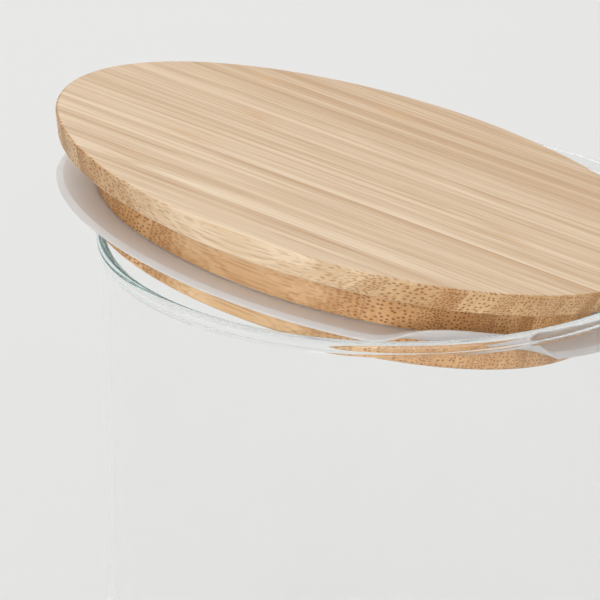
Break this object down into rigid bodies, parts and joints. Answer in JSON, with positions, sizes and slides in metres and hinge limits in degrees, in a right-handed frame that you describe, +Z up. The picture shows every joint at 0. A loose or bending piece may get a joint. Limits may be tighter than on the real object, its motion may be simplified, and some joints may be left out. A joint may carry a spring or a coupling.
{
  "type": "food canister",
  "caption": "Round clear glass canister with a turned bamboo plug lid and a silicone sealing ring, the lid lying askew on the open mouth.",
  "frame": {"origin": "centre of the jar's flat underside", "axes": "+Z up along the jar's axis; +X towards the side on which the lid's low edge dips (the low side is 15 degrees from +X towards +Y), so that -Y faces the viewer"},
  "size_m": [0.1285, 0.1273, 0.1977],
  "materials": {
    "clear_glass": "clear blown glass with a fire-polished rim, faintly green at the edges",
    "frosted_silicone": "soft translucent silicone, satin",
    "light_bamboo": "sanded light bamboo, satin oil",
    "deep_bamboo": "sanded slightly darker bamboo, satin oil"
  },
  "bodies": {
    "jar": {"glass_jar": "clear_glass"},
    "ring": {"silicone_ring": "frosted_silicone"},
    "lid": {"bamboo_strip_01": "deep_bamboo", "bamboo_strip_02": "light_bamboo", "bamboo_strip_03": "deep_bamboo", "bamboo_strip_04": "light_bamboo", "bamboo_strip_05": "deep_bamboo", "bamboo_strip_06": "light_bamboo", "bamboo_strip_07": "deep_bamboo", "bamboo_strip_08": "light_bamboo", "bamboo_strip_09": "deep_bamboo", "bamboo_strip_10": "light_bamboo", "bamboo_strip_11": "deep_bamboo", "bamboo_strip_12": "light_bamboo", "bamboo_strip_13": "deep_bamboo", "bamboo_strip_14": "light_bamboo", "bamboo_strip_15": "deep_bamboo"}
  },
  "joints": [
    {"name": "lid_lift", "type": "slide", "parent": "jar", "child": "ring", "axis": [0, 0, 1], "range_m": [0, 0.08]},
    {"name": "ring_release", "type": "slide", "parent": "ring", "child": "lid", "axis": [0.2287, 0.0617, 0.9715], "range_m": [0, 0.03], "deforming": ["silicone_ring"]}
  ]
}
